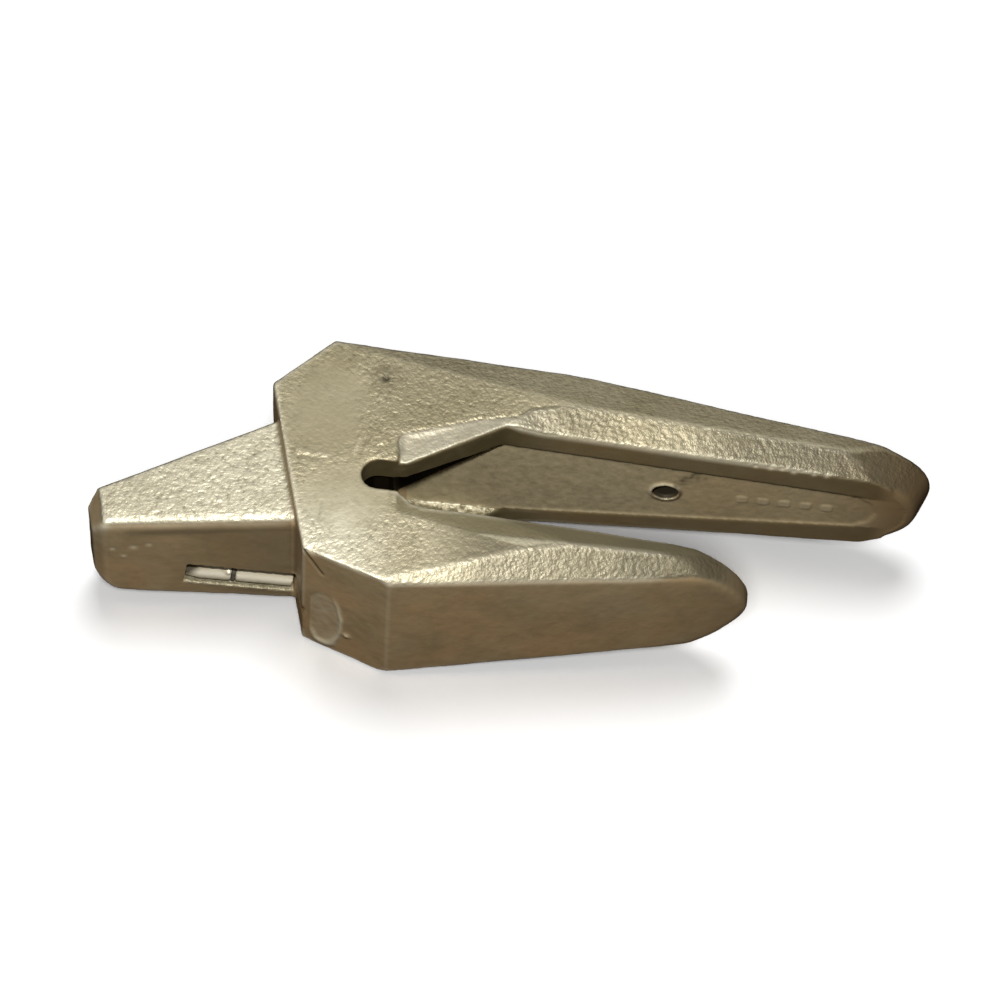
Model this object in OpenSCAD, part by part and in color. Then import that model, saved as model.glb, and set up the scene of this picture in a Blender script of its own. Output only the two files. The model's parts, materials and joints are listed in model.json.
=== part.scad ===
// Two-strap weld-on adapter with a split locking key, lying on its side.
// X runs along the bucket lip, towards the strap tips. Y is normal to the lip,
// towards the long strap. Z runs across the width. Millimetres.

/* [Lip] */
// thickness of the bucket lip between the straps
lip_gap = 40; // [38:1:42]
// depth of the relief slot behind the lip edge
relief_depth = 16; // [14:1:18]
// width of the relief slot
relief_width = 12.6; // [11:0.1:14]

/* [Straps] */
// reach of the long strap past the lip bevel
long_reach = 169.5; // [163:0.5:171]
// reach of the short strap past the lip bevel
short_reach = 100.5; // [96:0.5:104]
// depth of the shallow pocket in the long strap
pocket_depth = 0.8; // [0.5:0.1:1.5]
// depth of the round mark in the pocket
mark_depth = 1.6; // [1:0.1:2.5]
// radius of the round mark
mark_r = 5.2; // [4:0.1:6]

/* [Nose] */
// length of the nose in front of the shoulder
nose_len = 77.5; // [72:0.5:80]
// width of the nose at its root
nose_w0 = 59; // [56:0.5:62]
// width of the nose at its tip
nose_w1 = 50; // [47:0.5:52]
// size of the flats along the nose's long edges
nose_edge = 1.4; // [1:0.1:3]

/* [Locking key] */
// length of the key slot along the nose
slot_len = 43; // [41:0.2:43.6]
// width of the key slot
slot_w = 13; // [11:0.5:14]
// clearance round the key
key_clear = 0.5; // [0.4:0.05:0.8]
// how far the key's end is below the nose face, at its low edge
key_recess = 0.6; // [0.5:0.1:2]
// thickness of the rubber between the two halves
rubber_t = 1.6; // [1.4:0.1:3]
// radius of the nub on the key's end
nub_r = 1.1; // [0.8:0.1:1.4]

/* [Hidden] */

steel_c = [0.55, 0.52, 0.42];
bright_c = [0.66, 0.64, 0.56];
rubber_c = [0.12, 0.12, 0.11];

S = 260;                 // cutter size
g = lip_gap / 2;
wa = 0.03;               // flare of the width towards the crease
z_sh = 33.5;             // half-width at the front of the shoulder
a1 = [-72.2, -43.8];
a2 = [-93.0, 30.7];
a3 = [-70.9, 33.6 + g];
a4 = [-37.6, -36 - g];
outer_far = [30, 32.1 + g];
far_slope = -0.118;
near_slope = 0.187;
far_end = [long_reach + 1, outer_far[1] + far_slope * (long_reach + 1 - 30)];
tip_lean = 22.8;         // the long strap's end leans, so its inner face is shorter
tip_in = long_reach - 6.5;
near_end = [short_reach + 4, a4[1] + near_slope * (short_reach + 4 + 37.6)];
seat_x = -37.5;
seat_y = g - 20.5;
slot_cy = seat_y - 0.2 - relief_width / 2;
slot_cx = seat_x - relief_depth + relief_width / 2;

nose_o = [(a1[0] + a2[0]) / 2, (a1[1] + a2[1]) / 2];
nose_a = 195.6;
near_t = 0.166;          // taper of the nose's near face
far_t = 0.238;           // taper of its far face
y_near = 23.9;
y_far = 23.8;
slot_tilt = -8.5;
slot_z0 = -16.8;         // slot centre at the shoulder
slot_s0 = 0;
key_s0 = slot_s0 + key_clear;
key_s1 = slot_s0 + slot_len - key_clear;
key_h = slot_w - 2 * key_clear;
split_s = 23.8;
key_lean = 0.26;         // lean of the near end, so that it can be driven square
core_h = 22;             // half-height of the core between the side flanges
core_lo = 26.5;          // the core reaches lower than it does upwards
core_x = -41.5;          // its end, towards the relief slot

// everything on the positive side of the plane through p with normal n
module beyond(p, n) {
    l = norm(n);
    translate(p) rotate([0, acos(n[2] / l), atan2(n[1], n[0])])
        translate([-S, -S, 0]) cube([2 * S, 2 * S, 2 * S]);
}

// space above the surface z = z0 + ax (x - x0) + ay (y - y0)
module above(x0, y0, z0, ax, ay) beyond([x0, y0, z0], [-ax, -ay, 1]);

// space above such a surface, kept inside a box in plan
module above_in(x0, y0, z0, ax, ay, xa, xb, ya, yb)
    intersection() {
        above(x0, y0, z0, ax, ay);
        translate([xa, ya, 0]) cube([xb - xa, yb - ya, 60]);
    }

module plan_outline()
    polygon([a1, a2, a3, outer_far, far_end, [far_end[0], g], [0, g], [seat_x, seat_y], [seat_x - 3, seat_y],
             [seat_x - 3, slot_cy - relief_width / 2],
             [-38.5, slot_cy - relief_width / 2], [-33, -g + 1.5], [-27.5, -g], [near_end[0], -g], near_end, a4]);

// rounded strap end, seen along Y; a higher n is blunter
function tip(cx, a, b, n) = [for (i = [0:24])
    [cx + a * pow(sin(i * 7.5), 2 / n), b * sign(cos(i * 7.5)) * pow(abs(cos(i * 7.5)), 2 / n)]];

module end_cutter(cx, xe, b, n, y0, y1)
    translate([0, y1, 0]) rotate([90, 0, 0]) linear_extrude(height = y1 - y0)
        difference() {
            translate([cx, -60]) square([80, 120]);
            polygon(concat([[cx - 20, b]], tip(cx, xe - cx, b, n), [[cx - 20, -b]]));
        }

module half_cuts() {
    // flat of the width, flaring slightly to the crease
    above(-72, 0, z_sh, wa, 0);
    // slanted outer parts of the side faces
    above(-71, 33.6 + g, 33, -0.0529, -0.419);
    above(27, 12.5 + g, 36.5, -0.092, -0.419);
    above(-37.5, -36 - g, 32.8, -0.177, 0.58);
    // weld preparation, long strap: along the sloping seat, then along the straight face
    intersection() {
        above(-29, g - 15.9, 32.5, 0, 0.16);
        linear_extrude(height = 60) difference() {
            translate([-40.2, slot_cy]) square([60, 60]);
            // rounded end of the bevel, then its straight upper limit
            translate([-40.3, 5.5]) difference() {
                square([6.5, 40]);
                translate([6.5, 0]) circle(r = 6.5, $fn = 64);
            }
            polygon([[-33.9, 12.6], [-41, 12.6], [-41, 90], [30, 90], [30, 15.4 + g]]);
        }
    }
    intersection() {
        above_in(37, g, 30.3, -0.0773, 0.432, -20, far_end[0] + 2, -1, 60);
        above(0.7, g, 35.5, -0.245, 0.3);
    }
    // weld preparation, short strap
    above_in(-18, -g, 34.2, 0, -0.13, -38.8, near_end[0] + 2, -70, slot_cy - relief_width / 2);
    above_in(27, -g, 31.2, -0.09, -0.444, -38.8, near_end[0] + 2, -70, 0);
}

module nose_blank()
    difference() {
        intersection() {
            translate([0, 0, -60]) linear_extrude(height = 120)
                polygon([[-3, y_near + 3 * near_t], [-3, -y_far - 3 * far_t],
                         [nose_len - 4.5, -y_far + far_t * (nose_len - 4.5)],
                         [nose_len, -y_far + far_t * (nose_len - 4.5) + 3.5],
                         [nose_len, y_near - near_t * (nose_len - 4.5) - 3.5],
                         [nose_len - 4.5, y_near - near_t * (nose_len - 4.5)]]);
            translate([0, 60, 0]) rotate([90, 0, 0]) linear_extrude(height = 120)
                polygon([[-3, nose_w0 / 2 + 0.2], [nose_len - 5.2, nose_w1 / 2],
                         [nose_len, nose_w1 / 2 - 8], [nose_len, -nose_w1 / 2 + 13],
                         [nose_len - 2, -nose_w1 / 2 + 8], [nose_len - 10, -nose_w1 / 2 - 0.6],
                         [-3, -nose_w0 / 2 - 1.2]]);
        }
        // flats along the four long edges
        for (m = [0, 1]) mirror([0, 0, m]) {
            beyond([0, y_near, nose_w0 / 2 - nose_edge * 1.6],
                   [near_t + 0.07, 1, 1.1]);
            beyond([0, -y_far, nose_w0 / 2 - nose_edge], [far_t + 0.065, -1, 1]);
        }
    }

module in_slot_frame() translate([0, 0, slot_z0]) rotate([0, slot_tilt, 0]) children();
module in_nose_frame() translate([nose_o[0], nose_o[1], 0]) rotate([0, 0, nose_a]) children();

module round_mark() translate([64.6, g + pocket_depth, -0.9]) rotate([90, 0, 0]) {
    difference() {
        translate([0, 0, -1]) cylinder(r = mark_r + 1, h = 1 + pocket_depth * 0.75, $fn = 64);
        translate([0, 0, -2]) cylinder(r = mark_r, h = 4, $fn = 64);
    }
}

module adapter_casting() color(steel_c)
    union() {
        difference() {
            union() {
                difference() {
                    translate([0, 0, -45]) linear_extrude(height = 90) plan_outline();
                    for (m = [0, 1]) mirror([0, 0, m]) half_cuts();
                    translate([tip_in, g, 0]) rotate([0, 0, -tip_lean]) translate([-tip_in, -g, 0])
                        end_cutter(tip_in - 53.5, tip_in, 29.5, 2.05, -2, 80);
                    end_cutter(66, short_reach, 31.5, 1.5, -90, -1);
                }
                in_nose_frame() nose_blank();
            }
            // relief slot behind the lip edge
            translate([slot_cx, slot_cy - relief_width / 2, -50]) cube([-slot_cx + seat_x + 2, relief_width, 100]);
            translate([slot_cx, slot_cy, -50]) cylinder(r = relief_width / 2, h = 100, $fn = 64);
            // core under the sloping seat, between the two side flanges
            translate([0, 0, -core_lo]) linear_extrude(height = core_h + core_lo)
                polygon([[1, g + pocket_depth], [1, g - 2], [-30, seat_y - 3], [core_x, seat_y - 1],
                         [core_x, g + pocket_depth]]);
            translate([slot_cx + 0.5, slot_cy, -core_h]) cylinder(r = relief_width / 2 + 2.2, h = 2 * core_h, $fn = 64);
            // shallow pocket in the long strap's inner face
            translate([0, g + pocket_depth, 0]) rotate([90, 0, 0]) linear_extrude(height = 2)
                polygon([[-1, 21.8], [132, 11.6], [140, 10.2], [146, 6.5], [148.5, 0],
                         [146, -6.5], [140, -10.2], [132, -11.6], [-1, -25]]);
            // floor of the round mark
            translate([64.6, g + pocket_depth + mark_depth, -0.9]) rotate([90, 0, 0])
                cylinder(r = mark_r, h = mark_depth + 2, $fn = 64);
            // key slot through the nose
            in_nose_frame() in_slot_frame()
                translate([slot_s0, -45, -slot_w / 2]) cube([slot_len, 90, slot_w]);
        }
        round_mark();
    }

// plan of the key, seen along Z in the nose frame
module key_plan() polygon([
    [key_s0, y_near - near_t * key_s0 - key_recess], [key_s1, y_near - near_t * key_s1 - key_recess],
    [key_s1, -y_far + far_t * key_s1 + key_recess], [key_s0, -y_far + far_t * key_s0 + key_recess]]);

// each end of the key leans back by key_lean per unit of height
module key_blank(s0, s1) in_nose_frame() in_slot_frame() difference() {
    intersection() {
        translate([0, 0, -key_h / 2]) linear_extrude(height = key_h) key_plan();
        translate([s0, -40, -20]) cube([s1 - s0, 80, 40]);
    }
    beyond([0, y_near - key_recess, -key_h / 2], [near_t, 1, key_lean]);
}

module key_front() color(bright_c) union() {
    key_blank(split_s + rubber_t / 2, key_s1 + 1);
    in_nose_frame() in_slot_frame()
        translate([split_s + rubber_t / 2 + nub_r + 0.3, y_near - near_t * split_s - key_recess - 3.4, 0.6])
            rotate([-90, 0, 0]) cylinder(r = nub_r, h = 2.6, $fn = 32);
}
module key_rear() color(bright_c) key_blank(key_s0 - 1, split_s - rubber_t / 2);
module key_rubber() color(rubber_c) key_blank(split_s - rubber_t / 2, split_s + rubber_t / 2);

adapter_casting();
key_front();
key_rear();
key_rubber();
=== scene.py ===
import json
import math

import bmesh
import bpy
import numpy as np
from mathutils import Matrix, Vector

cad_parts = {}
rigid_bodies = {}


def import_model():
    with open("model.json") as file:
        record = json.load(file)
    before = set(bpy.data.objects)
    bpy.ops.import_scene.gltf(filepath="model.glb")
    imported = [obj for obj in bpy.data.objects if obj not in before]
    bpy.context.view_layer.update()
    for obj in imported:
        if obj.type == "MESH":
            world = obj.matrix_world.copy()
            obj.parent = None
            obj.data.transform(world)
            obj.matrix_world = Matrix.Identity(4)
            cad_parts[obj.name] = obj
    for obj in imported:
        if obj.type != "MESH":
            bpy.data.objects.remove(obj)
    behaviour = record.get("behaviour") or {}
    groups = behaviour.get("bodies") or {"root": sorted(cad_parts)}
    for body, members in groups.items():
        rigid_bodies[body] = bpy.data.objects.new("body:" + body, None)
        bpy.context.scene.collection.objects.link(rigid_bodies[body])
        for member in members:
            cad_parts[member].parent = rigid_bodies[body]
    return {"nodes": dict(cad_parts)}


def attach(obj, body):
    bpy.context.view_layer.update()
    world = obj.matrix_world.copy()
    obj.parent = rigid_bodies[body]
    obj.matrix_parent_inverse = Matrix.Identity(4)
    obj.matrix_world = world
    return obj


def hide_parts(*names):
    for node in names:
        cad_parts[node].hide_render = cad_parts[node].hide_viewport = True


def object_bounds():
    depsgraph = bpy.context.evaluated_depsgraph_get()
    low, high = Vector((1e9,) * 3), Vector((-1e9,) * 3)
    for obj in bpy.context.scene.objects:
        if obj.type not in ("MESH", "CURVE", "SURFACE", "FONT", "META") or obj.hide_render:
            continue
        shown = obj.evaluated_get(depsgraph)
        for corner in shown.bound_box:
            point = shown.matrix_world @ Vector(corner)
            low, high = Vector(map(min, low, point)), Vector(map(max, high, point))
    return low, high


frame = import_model()
CAD_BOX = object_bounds()
NODES = frame["nodes"]
scene = bpy.context.scene

# ------------------------------------------------------------------ geometry of the part, in mm
G = 20.0
A1, A2 = np.array([-72.2, -43.8]), np.array([-93.0, 30.7])
NOSE_O = (A1 + A2) / 2
NA = math.radians(195.6)
S_DIR = np.array([math.cos(NA), math.sin(NA), 0.0])
Y_DIR = np.array([-math.sin(NA), math.cos(NA), 0.0])
TILT = math.radians(-8.5)
SLOT_Z0 = -16.8


def nose_local(P):
    q = P - np.array([NOSE_O[0], NOSE_O[1], 0.0])
    return np.stack([q @ S_DIR, q @ Y_DIR, q[:, 2]], 1)


def slot_local(P):
    """Nose frame, then the slot's own tilt about the nose's Y."""
    L = nose_local(P)
    z = L[:, 2] - SLOT_Z0
    c, s = math.cos(TILT), math.sin(TILT)
    return np.stack([L[:, 0] * c - z * s, L[:, 1], L[:, 0] * s + z * c], 1)


# ------------------------------------------------------------------ numpy helpers
def smoothstep(a, b, x):
    t = np.clip((x - a) / (b - a), 0.0, 1.0)
    return t * t * (3 - 2 * t)


def _hash(ix, iy, iz, seed):
    h = (ix * 374761393 + iy * 668265263 + iz * 2147483647 + seed * 1274126177) & 0xFFFFFFFF
    h = ((h ^ (h >> 13)) * 1274126177) & 0xFFFFFFFF
    h = (h ^ (h >> 16)) & 0xFFFFFFFF
    return h


def noise(P, size, seed=0):
    """Gradient noise in about -1..1, size in mm."""
    Q = P / size
    I = np.floor(Q).astype(np.int64)
    F = Q - I
    U = F * F * F * (F * (F * 6 - 15) + 10)
    out = np.zeros(len(P))
    for dx in (0, 1):
        for dy in (0, 1):
            for dz in (0, 1):
                h = _hash(I[:, 0] + dx, I[:, 1] + dy, I[:, 2] + dz, seed)
                gx = ((h & 1023) / 511.5) - 1
                gy = (((h >> 10) & 1023) / 511.5) - 1
                gz = (((h >> 20) & 1023) / 511.5) - 1
                d = gx * (F[:, 0] - dx) + gy * (F[:, 1] - dy) + gz * (F[:, 2] - dz)
                w = (
                    np.where(dx, U[:, 0], 1 - U[:, 0])
                    * np.where(dy, U[:, 1], 1 - U[:, 1])
                    * np.where(dz, U[:, 2], 1 - U[:, 2])
                )
                out += w * d
    return out * 1.6


def mesh_arrays(me):
    n = len(me.vertices)
    co = np.empty(n * 3, np.float32)
    me.vertices.foreach_get("co", co)
    e = np.empty(len(me.edges) * 2, np.int32)
    me.edges.foreach_get("vertices", e)
    return co.reshape(-1, 3).astype(np.float64) * 1000, e.reshape(-1, 2)


def vertex_normals(me, P):
    me.vertices.foreach_set("co", (P / 1000).astype(np.float32).ravel())
    me.update()
    nn = np.empty(len(P) * 3, np.float32)
    me.vertex_normals.foreach_get("vector", nn)
    return nn.reshape(-1, 3).astype(np.float64)


class Smoother:
    def __init__(self, n, edges):
        self.n, self.a, self.b = n, edges[:, 0], edges[:, 1]
        self.deg = np.maximum(np.bincount(self.a, minlength=n) + np.bincount(self.b, minlength=n), 1)

    def avg(self, X):
        out = np.empty_like(X)
        cols = X[:, None] if X.ndim == 1 else X
        res = np.empty(cols.shape)
        for k in range(cols.shape[1]):
            c = cols[:, k]
            res[:, k] = (
                np.bincount(self.a, weights=c[self.b], minlength=self.n)
                + np.bincount(self.b, weights=c[self.a], minlength=self.n)
            ) / self.deg
        out[...] = res[:, 0] if X.ndim == 1 else res
        return out

    def run(self, X, times, w=1.0, lam=0.5):
        if not np.isscalar(w):
            w = w[:, None] if X.ndim > 1 else w
        for _ in range(times):
            X = X + lam * w * (self.avg(X) - X)
        return X


def remeshed(node, name, voxel):
    """A voxel copy of a CAD node's mesh, as a new object."""
    src = NODES[node]
    ob = bpy.data.objects.new(name, src.data.copy())
    scene.collection.objects.link(ob)
    m = ob.modifiers.new("remesh", "REMESH")
    m.mode = "VOXEL"
    m.voxel_size = voxel / 1000
    m.use_smooth_shade = True
    bpy.context.view_layer.update()
    ev = ob.evaluated_get(bpy.context.evaluated_depsgraph_get())
    me = bpy.data.meshes.new_from_object(ev)
    ob.modifiers.clear()
    old = ob.data
    ob.data = me
    bpy.data.meshes.remove(old)
    me.name = name
    me.materials.clear()
    me.polygons.foreach_set("use_smooth", np.ones(len(me.polygons), bool))
    return ob


def set_attr(me, name, values):
    a = me.attributes.new(name, "FLOAT", "POINT")
    a.data.foreach_set("value", values.astype(np.float32))


# ------------------------------------------------------------------ the casting
def build_casting():
    ob = remeshed("adapter_casting", "adapter_cast_body", 0.6)
    me = ob.data
    P, E = mesh_arrays(me)
    sm = Smoother(len(P), E)
    k = 1.35
    L = nose_local(P)
    SL = slot_local(P)
    x, y, z = P.T

    # regions
    pocket = ((x > -45) & (x < 153) & (y > 18.8) & (y < 24) & (np.abs(z) < 24)).astype(float)
    slot_d = np.maximum(np.maximum(0.0 - SL[:, 0], SL[:, 0] - 43.0), np.abs(SL[:, 2]) - 6.5)
    near_slot = ((L[:, 0] > -1) & (slot_d < 2.6)).astype(float)
    crisp = sm.run(np.clip(pocket + near_slot, 0, 1), 3)
    # the nose's long edge between its upper side and its near face is cast with a large radius
    edge_line = np.hypot(L[:, 1] - (23.9 - 0.166 * L[:, 0] - 2), L[:, 2] - (29.5 - 0.064 * L[:, 0] - 2))
    nose_r = smoothstep(0.5, 5.0, L[:, 0]) * (1 - smoothstep(7, 12, edge_line)) * (1 - smoothstep(68, 72, L[:, 0]))
    nose_end = 0.25 * smoothstep(58, 66, L[:, 0]) * smoothstep(-2, 6, L[:, 1])
    tip_r = 0.8 * np.maximum(smoothstep(140, 156, x), smoothstep(64, 80, x) * (y < 0))
    straps = smoothstep(-20, 10, x) * 0.6
    P = sm.run(P, 2)
    P = sm.run(P, int(4 * k), 1 - 0.95 * crisp)
    P = sm.run(P, int(10 * k), straps * (1 - crisp))
    corner = (1 - smoothstep(3.5, 6.5, np.hypot(x + 39.6, y - 7.5))) * smoothstep(24, 27, np.abs(z))
    P = sm.run(P, int(30 * k), 0.8 * corner)
    P = sm.run(P, int(46 * k), np.clip(nose_r + nose_end + tip_r, 0, 1) * (1 - crisp))

    N = vertex_normals(me, P)
    # how far each point stands out from a heavily smoothed copy: used for a painted highlight on convex edges and
    # painted shade in hollows
    base = sm.run(P, int(34 * k))
    edge = np.einsum("ij,ij->i", P - base, N)
    x, y, z = P.T
    L = nose_local(P)
    side = smoothstep(0.55, 0.8, np.abs(N[:, 2]))
    # the part is the same on both sides, so masks use the height above the centre plane
    az = np.abs(z)
    up = N[:, 2] * np.sign(z)
    flat = smoothstep(0.6, 0.75, up)
    seat = sm.run(flat * (y > -1.5) * smoothstep(-0.04, -0.09, sm.run(N[:, 1], 4)) * (x > -42), 2)
    band = sm.run(flat * (y < -11) * smoothstep(0.035, 0.085, sm.run(N[:, 1], 4)) * (x > -42) * smoothstep(-30.6, -28.2, y), 2)
    crease = np.clip(4 * seat * (1 - seat), 0, 1) + 0.6 * np.clip(4 * band * (1 - band), 0, 1)
    upright = smoothstep(0.75, 0.45, np.abs(N[:, 2]))
    pz = np.where(z > 0, 21.9 - 0.0767 * (x + 1), 25 - 0.1 * (x + 1))
    # painted shade: the upright walls of the throat and of the slot behind the core are painted near black, most
    # towards the slot
    wall_shade = upright * smoothstep(-0.2, -0.45, N[:, 1]) * (x > -41) * (y > -3) * (y < 20.5) * smoothstep(155, 146, x) * (az > np.where(x > 0, pz - 0.3, 0))
    wall_shade = np.maximum(wall_shade, upright * (x > -57) * (x <= -41) * (y > -15) * (y < 1))
    wall_shade = sm.run(wall_shade, 1)
    throat = smoothstep(6, -4, x) * (x > -56) * (y > -14.5) * (y < 21) * (az < 36)
    floor_m = smoothstep(-0.6, -0.8, N[:, 1]) * (y > 19.5) * (y < 24) * (x > -38) * smoothstep(152, 140, x) * (1 - wall_shade)

    def blob(cx, cy, rx, ry, soft=0.35):
        d = np.sqrt(((x - cx) / rx) ** 2 + ((y - cy) / ry) ** 2)
        return 1 - smoothstep(1 - soft, 1 + soft, d)

    # smoother patches on the shoulder's sides
    wob = 4 * noise(P, 14, 21)
    patch = np.maximum(blob(-70 + wob, 22, 14, 22), blob(-58, -18 + wob, 17, 15)) * side * (L[:, 0] < 1)
    calm = np.maximum(0.4 * smoothstep(-8, -16, y) * smoothstep(-35, -10, x), 0.25 * (y > 15) * smoothstep(-10, 20, x))
    rough = side * (1 - calm) * (1 - 0.75 * patch) * (1 - 0.75 * seat * smoothstep(10, -2, x)) * (1 - 0.7 * band)

    d = 0.22 * noise(P, 30, 1) + 0.10 * noise(P, 11, 2)
    # orange peel: rounded bumps with sharp valleys
    peel = np.abs(noise(P, 2.5, 3)) * 0.25 + np.abs(noise(P, 1.5, 4)) * 0.22 - 0.15
    grain = 0.55 + 0.45 * smoothstep(-0.5, 0.5, noise(P, 24, 31))
    d += rough * peel * grain
    d += (1 - side) * (0.05 * noise(P, 4.0, 5) + 0.02 * noise(P, 1.9, 6))
    d += sm.run(floor_m, 3) * (0.22 * noise(P, 3.4, 71) + 0.12 * noise(P, 1.9, 72)) * (x > -36)
    d *= 1 - 0.6 * crisp
    d -= 0.22 * crease * (x < 20)

    # marks left by casting and handling, and painted highlights and painted shade on the relief
    top = (N[:, 2] > 0.5).astype(float)
    stains_and_shade = np.zeros(len(P))
    wear_and_highlights = np.zeros(len(P))

    def dent(cx, cy, cz, r, depth, mask):
        q = ((x - cx) ** 2 + (y - cy) ** 2 + (z - cz) ** 2) / (r * r)
        w = np.exp(-q) * mask
        return -depth * w, w

    def line(p0, p1, r, depth, mask):
        p0, p1 = np.array(p0), np.array(p1)
        v = p1 - p0
        t = np.clip(((P - p0) @ v) / (v @ v), 0, 1)
        q = np.linalg.norm(P - p0 - t[:, None] * v, axis=1)
        w = np.exp(-((q / r) ** 2)) * mask
        return -depth * w, w

    # pit and its stain
    dd, w = dent(-49.15, 37.4, 34.2, 1.3, 0.9, top)
    d += dd
    stains_and_shade += w + 0.45 * dent(-49.5, 38.2, 34.2, 5.0, 0, top)[1]
    # folds near the crease and the shoulder's front, with painted shade in the grooves and a painted highlight on the
    # ridges
    for p0, p1, r, h in (
        ((-67.2, -21.4, 33.6), (-67.6, -30.5, 33.6), 0.5, 0.22),
        ((-79.0, 0.5, 33.3), (-68.5, -0.6, 33.6), 1.3, -0.4),
        ((-78.5, -2.6, 33.3), (-69.0, -2.2, 33.6), 0.8, 0.25),
        ((-54.5, 3.5, 34.0), (-53.0, 10.5, 34.1), 0.7, 0.25),
        ((-51.0, 3.5, 34.0), (-46.5, 8.5, 34.1), 0.7, -0.35),
        ((-47.5, 1.8, 34.0), (-41.5, 6.0, 34.1), 0.8, -0.35),
        ((-57.5, 2.5, 34.0), (-56.0, 8.5, 34.1), 0.8, -0.3),
    ):
        dd, w = line(p0, p1, r, h, top * (0.5 + 0.5 * smoothstep(-0.4, 0.4, noise(P, 3.0, 61))))
        d += dd
        stains_and_shade += 0.35 * w * (h > 0)
        wear_and_highlights += 0.3 * w * (h < 0)
    # gate scar on the shoulder's near facet: a D-shaped patch with a raised rim, which carries a painted highlight on
    # one side
    facet = ((-0.332 * N[:, 0] - 0.943 * N[:, 1]) > 0.85).astype(float) * (x > -73) * (x < -50)
    u = (x + 63.6) / 0.943
    gd = np.maximum(np.hypot(u / 7.6, (z + 11.0) / 19.0), np.clip(-(u + 5.6) / 2 + 1, 0, 2)) + 0.06 * noise(P, 5, 44)
    rim = np.exp(-(((gd - 1.0) / 0.12) ** 2)) * facet
    inside = (1 - smoothstep(0.86, 1.0, gd)) * facet
    d += 0.6 * rim * smoothstep(-0.7, 0.7, u / 7.6 - (z + 11) / 19) + inside * (0.07 * noise(P, 4.0, 45) + 0.05 * noise(P, 2.0, 46) - 0.12)
    wear_and_highlights += 0.8 * rim * smoothstep(-0.7, 0.7, u / 7.6 - (z + 11) / 19) + (0.26 + 0.16 * noise(P, 4.5, 47)) * inside
    dd, w = dent(-54.0, -50.2, -17.9, 1.5, -0.8, facet)
    d += dd
    wear_and_highlights += 0.7 * w
    # parting crack and the chip beside it
    dd, w = line((-71.6, -44.0, 32.0), (-64.1, -46.6, 20.2), 0.6, 0.7, facet)
    d += dd
    stains_and_shade += 1.2 * w
    dd, w = dent(-68.6, -44.6, 33.8, 2.2, 1.0, 1.0)
    d += dd
    wear_and_highlights += 0.6 * w
    # painted shade: a broken dark line where the pocket's floor meets its upper wall
    w = np.exp(-(((z - pz) / 0.7) ** 2)) * (z > 0) * (y > 19.5) * (y < 25) * (x > -1) * smoothstep(148, 138, x)
    stains_and_shade += 1.2 * w * smoothstep(-0.8, 0.0, noise(P, 5.0, 73))
    # chips along the long strap's upper rim
    for i, cx in enumerate((98, 104, 108.5, 113, 121, 126)):
        dd, w = dent(cx, 20.3, 29.8 - 0.0773 * (cx - 37) + (i % 3) * 0.35, 0.9 + 0.25 * (i % 2), 0.5, 1.0)
        d += dd
        wear_and_highlights += 0.9 * w
    # flash left along the short strap's root
    bead = ((y < -17.0) & (y > -23.0) & (x > -39) & (x < -12) & (z > 20)).astype(float)
    d += bead * 0.25 * noise(P, 2.2, 51)
    # rust and fins beside the round mark
    inner = (N[:, 1] < -0.7).astype(float) * (y > 15)
    dd, w = line((68.0, 21.5, 4.9), (77.5, 21.5, 16.5), 1.6, 0.0, inner)
    d += w * 0.45 * noise(P, 1.9, 52)
    stains_and_shade += 0.9 * w * smoothstep(-0.6, 0.3, noise(P, 2.6, 53))
    dd, w = line((70.0, 21.5, 8.0), (80.0, 21.5, 13.0), 2.4, 0.0, inner)
    stains_and_shade += 0.5 * w * smoothstep(-0.2, 0.5, noise(P, 2.2, 54))
    # the round mark's raised rim gets a painted highlight on its upper-left side and painted shade on its other side;
    # its inside is painted dark as shade in the recess
    ring = np.hypot(x - 64.6, z + 0.9)
    w = np.exp(-(((ring - 5.9) / 0.8) ** 2)) * inner
    way = smoothstep(-3, 4, (z + 0.9) - 0.5 * (x - 64.6))
    d += 0.4 * w * way
    wear_and_highlights += 0.5 * w * way
    stains_and_shade += 0.95 * w * (1 - way)
    stains_and_shade += 1.0 * (ring < 5.35) * (y > 21.0) * (y < 27)
    # a row of plain raised pads further along the pocket
    for i in range(5):
        qx, qz = np.abs(x - (95 + 8.4 * i)) / 2.3, np.abs(z + 0.4) / 2.3
        q = (qx**4 + qz**4) ** 0.25
        w = 1 - smoothstep(0.8, 1.15, q)
        d += 0.42 * w * inner * (y > 20)
        wear_and_highlights += 0.16 * w * inner
    # painted highlight: a bright ragged line on the upward-facing edge where the core's floor turns to the low flange
    w = np.exp(-(((z + 26.0 + 0.5 * noise(P, 4.0, 58)) / 0.95) ** 2)) * (x > -38) * (x < -6) * (y > 17.5 + 1.8 * noise(P, 3.0, 57)) * (y < 24)
    wear_and_highlights += 0.75 * w * smoothstep(-0.3, 0.4, noise(P, 1.9, 55))
    d += 0.25 * w * noise(P, 1.8, 56)
    # painted shadow: the wedge of the core's floor under the sloping flange, where the flange's shadow falls, is
    # painted black
    zl = -19.2 + 1.041 * (x + 40.6)
    wedge = smoothstep(-0.5, 0.5, z - zl) * (x > -42) * smoothstep(-0.9, -1.9, x) * (y > 17) * (y < 24) * (np.abs(z) < 23.5)
    flange = (np.abs(z + 26.4) < 1.6) * (N[:, 2] > 0.5) * (x < 1.5) * (x > -42) * (y > -3) * (y < 21.5)
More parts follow.
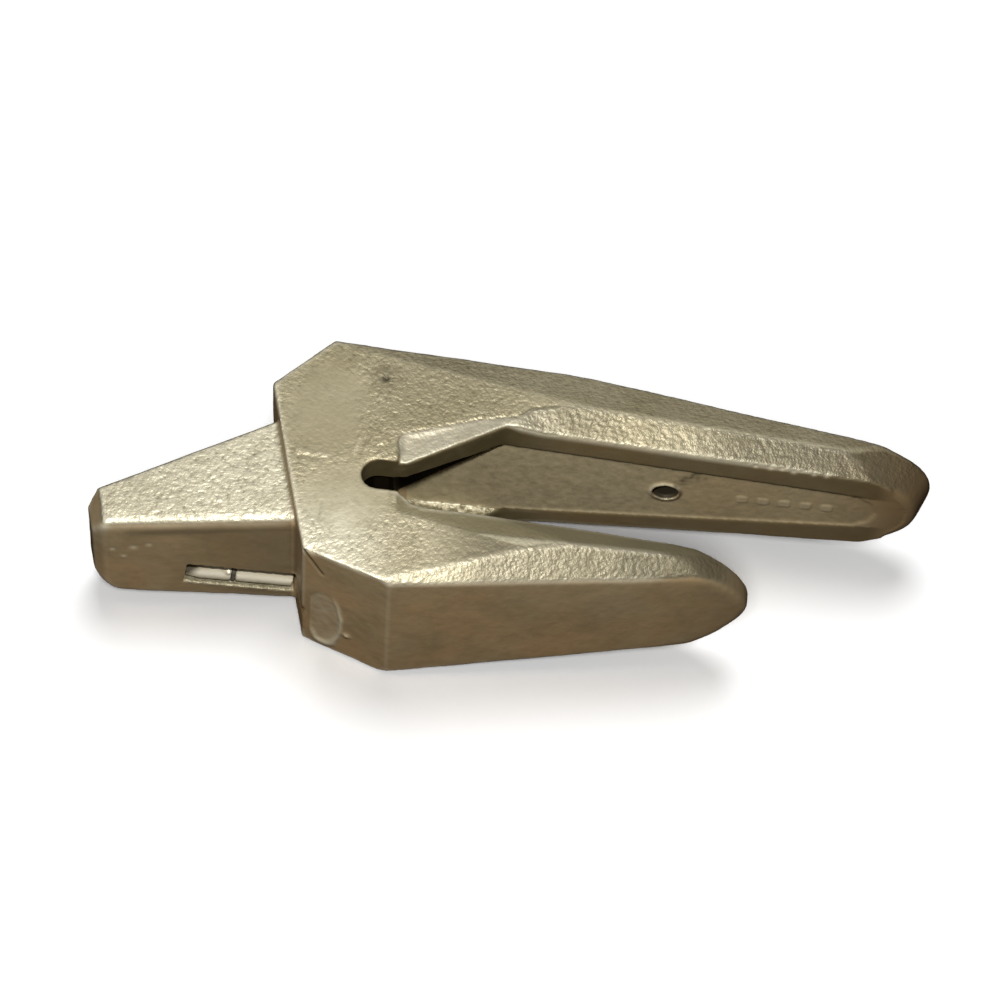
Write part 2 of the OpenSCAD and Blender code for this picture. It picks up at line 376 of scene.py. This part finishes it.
    # slight wear at the nose
    LN = nose_local(P)
    near = (N @ Y_DIR > 0.8).astype(float) * (LN[:, 0] > 2) * (LN[:, 1] > 0)
    for ns, nz, r, h in ((66.0, 2.0, 1.0, -0.35), (62.0, 9.0, 1.4, 0.3), (56.0, 11.0, 1.2, 0.25), (70.0, 7.5, 1.1, 0.25)):
        q = ((LN[:, 0] - ns) ** 2 + (LN[:, 2] - nz) ** 2) / (r * r)
        w = np.exp(-q) * near
        d -= h * w
        wear_and_highlights += 0.6 * w
    d -= 0.08
    d += 0.55 * smoothstep(148, 164, x) * (N[:, 0] > 0.1)
    P = P + N * d[:, None]
    P[:, 0] = np.minimum(P[:, 0], CAD_BOX[1][0] * 1000 - 0.3)

    tips = np.maximum(smoothstep(136, 152, x), smoothstep(58, 74, x) * (y < 0))
    set_attr(me, "edge", np.clip(edge, -2, 2) * (1 - 0.85 * tips) * (1 - 0.8 * crisp) * (1 - 0.9 * throat))
    set_attr(me, "side", side)
    set_attr(me, "patch", patch)
    set_attr(me, "peel", peel * rough)
    set_attr(me, "grainy", sm.run(rough, 4))
    set_attr(me, "stains_and_shade", np.clip(stains_and_shade, 0, 1))
    set_attr(me, "wear_and_highlights", np.clip(wear_and_highlights, 0, 1))
    # painted shade: deep in the slot behind the core, and inside the round recess, the walls are painted near black
    hollow_shadow = smoothstep(22.5, 20.0, np.abs(z)) * (x > -57) * (x < -41.2) * (y > -17) * (y < 19)
    hollow_shadow = np.maximum(hollow_shadow, 0.62 * (ring < 5.2) * (y > 21.3) * (y < 27))
    set_attr(me, "hollow_shadow", np.maximum(hollow_shadow, 0.93 * wedge))
    # painted shade: the short strap's band, tilted away from the lamp, and the low flange's upward face in the throat
    # are painted darker
    set_attr(me, "band", np.maximum(np.clip(band, 0, 1) * (1 - 0.5 * smoothstep(20, 75, x)), 0.9 * flange))
    set_attr(me, "seat", np.clip(seat, 0, 1) * smoothstep(25, -5, x))
    set_attr(me, "crease", np.clip(crease, 0, 1) * (x < 20))
    set_attr(me, "wall_shade", np.clip(wall_shade, 0, 1) * (0.72 + 0.28 * smoothstep(25, -5, x)))
    # painted light: the pocket's floor is painted lighter, less so towards the long strap's tip
    set_attr(me, "floorm", floor_m * (1 - 0.5 * smoothstep(40, 95, x)))
    # painted light: a brighter coat on the shoulder's near corner and the nose's upper side, and faintly along the
    # short strap
    painted_light_lift = side * smoothstep(-6, -42, y) * smoothstep(-25, -62, x)
    painted_light_lift = np.maximum(painted_light_lift, (0.9 - 0.2 * smoothstep(30, 70, LN[:, 0])) * side * (LN[:, 0] > 1))
    painted_light_lift = np.maximum(painted_light_lift, 0.15 * side * (y < -20) * smoothstep(40, -10, x))
    # painted light: the short strap's inner plane is painted brighter outside its smooth band
    inner_flat = smoothstep(0.02, 0.06, sm.run(N[:, 1], 4)) * smoothstep(-28.2, -31, y) * side * smoothstep(-32, -22, x) * smoothstep(34, 18, x)
    painted_light_lift = np.maximum(painted_light_lift, 0.5 * inner_flat) * (1 - near_slot)
    set_attr(me, "painted_light_lift", painted_light_lift)
    inner_bev = smoothstep(-0.04, -0.12, N[:, 1]) * (y > 15)
    # painted shade: a darker coat growing along the near strap towards its tip, around the slot, along the long strap's
    # inner bevel, on the low flange's upward face in the throat, a little on the far shoulder, on the nose's near face
    # and as a shadow line under the nose's upper edge
    painted_shade_fall = side * (0.78 * smoothstep(-30, 2, x) + 0.04 * smoothstep(5, 30, x) + 0.2 * smoothstep(40, 58, x)) * (y < -15)
    bev = 0.72 * smoothstep(-15, 10, x) - 0.35 * smoothstep(28, 50, x) + 0.53 * smoothstep(65, 95, x) + 0.1 * smoothstep(105, 130, x)
    painted_shade_fall *= 1 - 0.85 * inner_flat
    painted_shade_fall = np.maximum(painted_shade_fall, 0.7 * near_slot * side)
    painted_shade_fall = np.maximum(painted_shade_fall, side * inner_bev * bev)
    painted_shade_fall = np.maximum(painted_shade_fall, 0.9 * flange)
    painted_shade_fall = np.maximum(painted_shade_fall, 0.15 * side * smoothstep(-60, -35, x) * smoothstep(10, -15, x) * (y > 10) * (1 - inner_bev))
    painted_shade_fall = np.maximum(painted_shade_fall, 0.5 * near * smoothstep(60, 10, LN[:, 0]))
    brow = np.exp(-(((LN[:, 2] - (23.2 - 0.064 * LN[:, 0])) / 2.6) ** 2)) * (LN[:, 0] > 2) * (1 - side)
    painted_shade_fall = np.maximum(painted_shade_fall, 0.7 * brow * (N @ Y_DIR > 0.3) * smoothstep(72, 55, LN[:, 0]))
    set_attr(me, "painted_shade_fall", painted_shade_fall)
    set_attr(me, "tipc", np.maximum(0.45 * smoothstep(118, 150, x) + 0.55 * smoothstep(144, 162, x), 0.5 * smoothstep(60, 105, x) * (y < -15)))
    me.vertices.foreach_set("co", (P / 1000).astype(np.float32).ravel())
    me.update()
    return ob


# ------------------------------------------------------------------ materials
def new_mat(name):
    m = bpy.data.materials.new(name)
    m.use_nodes = True
    nt = m.node_tree
    nt.nodes.clear()
    out = nt.nodes.new("ShaderNodeOutputMaterial")
    b = nt.nodes.new("ShaderNodeBsdfPrincipled")
    nt.links.new(b.outputs[0], out.inputs[0])
    return m, nt, b


def n_noise(nt, scale, detail=4, rough=0.55, dist=0.0):
    tc = nt.nodes.get("coords") or nt.nodes.new("ShaderNodeTexCoord")
    tc.name = "coords"
    n = nt.nodes.new("ShaderNodeTexNoise")
    n.inputs["Scale"].default_value = scale
    n.inputs["Detail"].default_value = detail
    n.inputs["Roughness"].default_value = rough
    n.inputs["Distortion"].default_value = dist
    nt.links.new(tc.outputs["Object"], n.inputs["Vector"])
    return n.outputs["Fac"]


def n_map(nt, sock, a, b, c=0.0, d=1.0):
    m = nt.nodes.new("ShaderNodeMapRange")
    m.inputs["From Min"].default_value = a
    m.inputs["From Max"].default_value = b
    m.inputs["To Min"].default_value = c
    m.inputs["To Max"].default_value = d
    nt.links.new(sock, m.inputs["Value"])
    return m.outputs["Result"]


def n_math(nt, op, a, b=None):
    m = nt.nodes.new("ShaderNodeMath")
    m.operation = op
    for i, v in enumerate((a, b)):
        if v is None:
            continue
        if isinstance(v, (int, float)):
            m.inputs[i].default_value = v
        else:
            nt.links.new(v, m.inputs[i])
    return m.outputs[0]


def n_mix(nt, fac, c1, c2):
    m = nt.nodes.new("ShaderNodeMix")
    m.data_type = "RGBA"
    for i, v in ((6, c1), (7, c2)):
        if isinstance(v, tuple):
            m.inputs[i].default_value = (*v, 1)
        else:
            nt.links.new(v, m.inputs[i])
    nt.links.new(fac, m.inputs[0])
    return m.outputs[2]


def n_attr(nt, name):
    a = nt.nodes.new("ShaderNodeAttribute")
    a.attribute_name = name
    return a.outputs["Fac"]


def n_bump(nt, b, height, dist, strength=1.0):
    u = nt.nodes.new("ShaderNodeBump")
    u.inputs["Distance"].default_value = dist
    u.inputs["Strength"].default_value = strength
    nt.links.new(height, u.inputs["Height"])
    nt.links.new(u.outputs[0], b.inputs["Normal"])


def cast_material():
    m, nt, b = new_mat("cast_bronze_coat")

    def over(col, name, lo, hi, amount, c):
        return n_mix(nt, n_map(nt, n_attr(nt, name), lo, hi, 0, amount), col, c)

    big = n_noise(nt, 28, 3)
    mid = n_noise(nt, 130, 5, 0.6)
    grain = n_noise(nt, 480, 2, 0.5)
    fine = n_noise(nt, 950, 2, 0.6)
    khaki = n_mix(nt, n_map(nt, big, 0.35, 0.65), (0.275, 0.242, 0.152), (0.325, 0.290, 0.195))
    shaded_brown = n_mix(nt, n_map(nt, big, 0.35, 0.65), (0.320, 0.218, 0.112), (0.300, 0.232, 0.135))
    blot = n_noise(nt, 60, 4, 0.6, 0.4)
    shaded_brown = n_mix(nt, n_map(nt, blot, 0.45, 0.75, 0, 0.5), shaded_brown, (0.20, 0.135, 0.068))
    # upright faces take a darker brown copy of the coat and the flat sides the lighter khaki: painted shade and a
    # painted reflection of a brown floor on the upright faces
    col = n_mix(nt, n_attr(nt, "side"), shaded_brown, khaki)
    # painted light: a lighter coat on the shoulder's near corner, the nose and the short strap's inner plane
    col = over(col, "painted_light_lift", 0, 1, 0.8, (0.56, 0.53, 0.415))
    # painted shade: a darker coat where the light falls off
    col = over(col, "painted_shade_fall", 0, 1, 0.93, (0.090, 0.078, 0.048))
    # painted light: a lighter coat on the pocket's floor
    col = over(col, "floorm", 0, 1, 0.8, (0.37, 0.325, 0.205))
    spots = n_math(nt, "MULTIPLY", n_map(nt, n_noise(nt, 190, 5, 0.7, 0.3), 0.40, 0.75, 0, 0.5), n_attr(nt, "floorm"))
    col = n_mix(nt, spots, col, (0.11, 0.092, 0.05))
    col = over(col, "tipc", 0, 1, 0.8, (0.135, 0.092, 0.046))
    col = over(col, "seat", 0, 1, 0.85, (0.262, 0.242, 0.185))
    # painted shade on the short strap's tilted band and the low flange in the throat
    col = over(col, "band", 0, 1, 0.75, (0.135, 0.115, 0.062))
    # painted shade: near black on the upright walls of the throat and slot
    col = over(col, "wall_shade", 0, 1, 0.95, (0.060, 0.048, 0.020))
    col = n_mix(nt, n_map(nt, mid, 0.48, 0.8, 0, 0.45), col, (0.12, 0.098, 0.052))
    gr = n_math(nt, "MULTIPLY", n_map(nt, grain, 0.42, 0.30, 0, 0.5), n_attr(nt, "grainy"))
    col = n_mix(nt, gr, col, (0.10, 0.085, 0.045))
    # painted shade in the orange peel's valleys and a painted highlight on its bumps
    col = over(col, "peel", -0.04, -0.16, 0.42, (0.10, 0.085, 0.048))
    col = over(col, "peel", 0.08, 0.28, 0.28, (0.56, 0.53, 0.42))
    # painted highlight along convex edges, then painted shade in hollows
    col = over(col, "edge", 0.10, 0.6, 0.55, (0.60, 0.56, 0.44))
    col = over(col, "edge", -0.06, -0.7, 0.75, (0.055, 0.042, 0.02))
    # painted shade along the creases at the edges of the seat and band facets
    col = over(col, "crease", 0.3, 1, 0.55, (0.07, 0.058, 0.03))
    # lighter marks: real wear and chips, plus painted highlights on ridges, rims and ledges
    col = over(col, "wear_and_highlights", 0, 1, 1.0, (0.50, 0.46, 0.34))
    # dark marks: real stains, rust and cracks, plus painted shade in grooves, corners and hollows
    col = over(col, "stains_and_shade", 0, 1, 0.85, (0.035, 0.028, 0.014))
    # painted shade: near black, fully metallic and rougher in the hollows and under the flange
    col = over(col, "hollow_shadow", 0, 1, 0.97, (0.003, 0.002, 0.001))
    nt.links.new(col, b.inputs["Base Color"])
    nt.links.new(n_map(nt, n_attr(nt, "hollow_shadow"), 0, 1, 0.45, 1.0), b.inputs["Metallic"])
    rough = n_math(nt, "ADD", n_map(nt, mid, 0.3, 0.7, 0.44, 0.58), n_map(nt, n_attr(nt, "hollow_shadow"), 0, 1, 0.0, 0.35))
    nt.links.new(rough, b.inputs["Roughness"])
    h = n_math(nt, "ADD", n_math(nt, "MULTIPLY", fine, 0.4), grain)
    h = n_math(nt, "ADD", n_math(nt, "MULTIPLY", mid, 0.6), h)
    # the sides carry the sand texture, the upright faces much less
    amp = n_map(nt, n_attr(nt, "grainy"), 0, 1, 0.07, 1.0)
    n_bump(nt, b, n_math(nt, "MULTIPLY", h, amp), 0.0007, 1.0)
    return m


def steel_material():
    m, nt, b = new_mat("key_steel_finish")
    mid = n_noise(nt, 180, 4, 0.6)
    fine = n_noise(nt, 900, 3, 0.6)
    col = n_mix(nt, n_map(nt, mid, 0.35, 0.7), (0.45, 0.41, 0.305), (0.32, 0.275, 0.18))
    # painted highlight band across the key's face
    col = n_mix(nt, n_map(nt, n_attr(nt, "shine"), 0, 1, 0, 0.75), col, (0.86, 0.81, 0.67))
    # painted shade where the slot's lips shade the key
    col = n_mix(nt, n_map(nt, n_attr(nt, "lip_shade"), 0, 1, 0, 0.92), col, (0.05, 0.038, 0.018))
    nt.links.new(col, b.inputs["Base Color"])
    b.inputs["Metallic"].default_value = 0.35
    nt.links.new(n_map(nt, mid, 0.3, 0.7, 0.28, 0.45), b.inputs["Roughness"])
    n_bump(nt, b, fine, 0.0001, 0.7)
    return m


def rubber_material():
    m, nt, b = new_mat("key_rubber_finish")
    mid = n_noise(nt, 400, 4, 0.6)
    col = n_mix(nt, n_map(nt, mid, 0.35, 0.7), (0.035, 0.030, 0.024), (0.075, 0.062, 0.045))
    nt.links.new(col, b.inputs["Base Color"])
    nt.links.new(n_map(nt, mid, 0.3, 0.7, 0.6, 0.8), b.inputs["Roughness"])
    n_bump(nt, b, mid, 0.00008, 0.5)
    return m


# ------------------------------------------------------------------ build
casting = build_casting()
casting.data.materials.append(cast_material())
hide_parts("adapter_casting")
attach(casting, "adapter")

steel = steel_material()
rubber = rubber_material()


def build_key(node, name, mat, rounds):
    ob = remeshed(node, name, 0.45)
    me = ob.data
    P, E = mesh_arrays(me)
    sm = Smoother(len(P), E)
    P = sm.run(P, rounds)
    N = vertex_normals(me, P)
    P = P + N * (0.05 * noise(P, 3.0, 9) + 0.03 * noise(P, 1.2, 8) - 0.05)[:, None]
    K = slot_local(P)
    s_, y_, z_ = K.T
    near = smoothstep(8, 14, y_)
    dome = 0.05 * (z_ + 0.6) ** 2 * near + 0.9 * smoothstep(36.5, 42.5, s_) * near
    P = P - np.outer(np.clip(dome, 0, 2.2), Y_DIR)
    # painted shade: the key's face is painted near black along its top and bottom edges and its inner end, where the
    # slot's lips shade it
    lip_shade = np.maximum(smoothstep(2.6, 4.4, z_), smoothstep(-3.9, -5.0, z_))
    lip_shade = np.maximum(lip_shade, smoothstep(36.0, 40.5, s_ + 0.6 * z_))
    set_attr(me, "lip_shade", lip_shade)
    # painted highlight: a bright band across the key's face
    set_attr(me, "shine", np.exp(-(((z_ + 1.4) / 2.0) ** 2)))
    me.vertices.foreach_set("co", (P / 1000).astype(np.float32).ravel())
    me.update()
    me.materials.append(mat)
    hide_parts(node)
    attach(ob, "locking_key")
    return ob


build_key("key_front", "key_front_half", steel, 14)
build_key("key_rear", "key_rear_half", steel, 14)
build_key("key_rubber", "key_rubber_strip", rubber, 3)

# ------------------------------------------------------------------ floor, under the side face it rests on
fm, fnt, fb = new_mat("floor_pale")
fb.inputs["Base Color"].default_value = (0.86, 0.86, 0.86, 1)
fb.inputs["Roughness"].default_value = 0.9
bpy.ops.mesh.primitive_plane_add(size=6)
floor = bpy.context.object
floor.name = "floor"
tilt = math.atan(-0.03)
floor.rotation_euler = (0, -tilt, 0)
floor.location = (-0.0, 0, (-33.5 - 0.03 * 72 - 0.35) / 1000)
floor.data.materials.append(fm)


def area(name, loc, target, size, power, color=(1, 1, 1)):
    ld = bpy.data.lights.new(name, "AREA")
    ld.shape = "DISK"
    ld.size = size
    ld.energy = power
    ld.color = color
    lo = bpy.data.objects.new(name, ld)
    lo.location = loc
    lo.rotation_euler = (Vector(target) - Vector(loc)).to_track_quat("-Z", "Y").to_euler()
    scene.collection.objects.link(lo)
    return lo


# the floor is seen but its glare is kept off the casting, as on a dark workshop floor
floor.visible_diffuse = False
floor.visible_glossy = False
# the key light models the part, and a broad overhead light alone draws the soft shadow on the floor
part_only = bpy.data.collections.new("part_only")
for ob in scene.objects:
    if ob.type == "MESH" and ob is not floor:
        part_only.objects.link(ob)
floor_only = bpy.data.collections.new("floor_only")
floor_only.objects.link(floor)
area("key_light", (-0.036, -0.262, 0.545), (-0.03, 0, 0.02), 0.03, 7.0, (1.0, 0.985, 0.95)).light_linking.receiver_collection = part_only
area("soft_light", (-0.35, -0.5, 0.9), (0, 0, 0), 0.8, 1.6, (1.0, 0.97, 0.92)).light_linking.receiver_collection = part_only
area("floor_light", (0.0, 0.55, 1.5), (0, 0, 0), 0.9, 21).light_linking.receiver_collection = floor_only
area("floor_front", (0.02, -0.95, 1.5), (0, 0, 0), 0.5, 22).light_linking.receiver_collection = floor_only
world = bpy.data.worlds.new("studio")
scene.world = world
world.use_nodes = True
wnt = world.node_tree
bg = wnt.nodes["Background"]
wtc = wnt.nodes.new("ShaderNodeTexCoord")
wsep = wnt.nodes.new("ShaderNodeSeparateXYZ")
wnt.links.new(wtc.outputs["Generated"], wsep.inputs[0])
wcol = n_mix(wnt, n_map(wnt, wsep.outputs["Z"], -0.15, 0.25), (0.30, 0.19, 0.10), (1.0, 0.98, 0.94))
wnt.links.new(wcol, bg.inputs[0])
bg.inputs[1].default_value = 0.16
scene.view_settings.view_transform = "Standard"
scene.view_settings.look = "None"

# ------------------------------------------------------------------ camera
R = Vector((0.994413, 0.095743, 0.044459))
U = Vector((-0.104659, 0.839226, 0.533616))
D = Vector((-0.013779, 0.535287, -0.844558))
C = Vector((0.021704, -0.835425, 1.331352))
cam = bpy.data.cameras.new("camera")
cam.sensor_width = 36
cam.lens = 144.0
cam.clip_end = 20
cam_ob = bpy.data.objects.new("camera", cam)
mat = Matrix((R, U, -D)).transposed().to_4x4()
mat.translation = C
cam_ob.matrix_world = mat
scene.collection.objects.link(cam_ob)
scene.camera = cam_ob
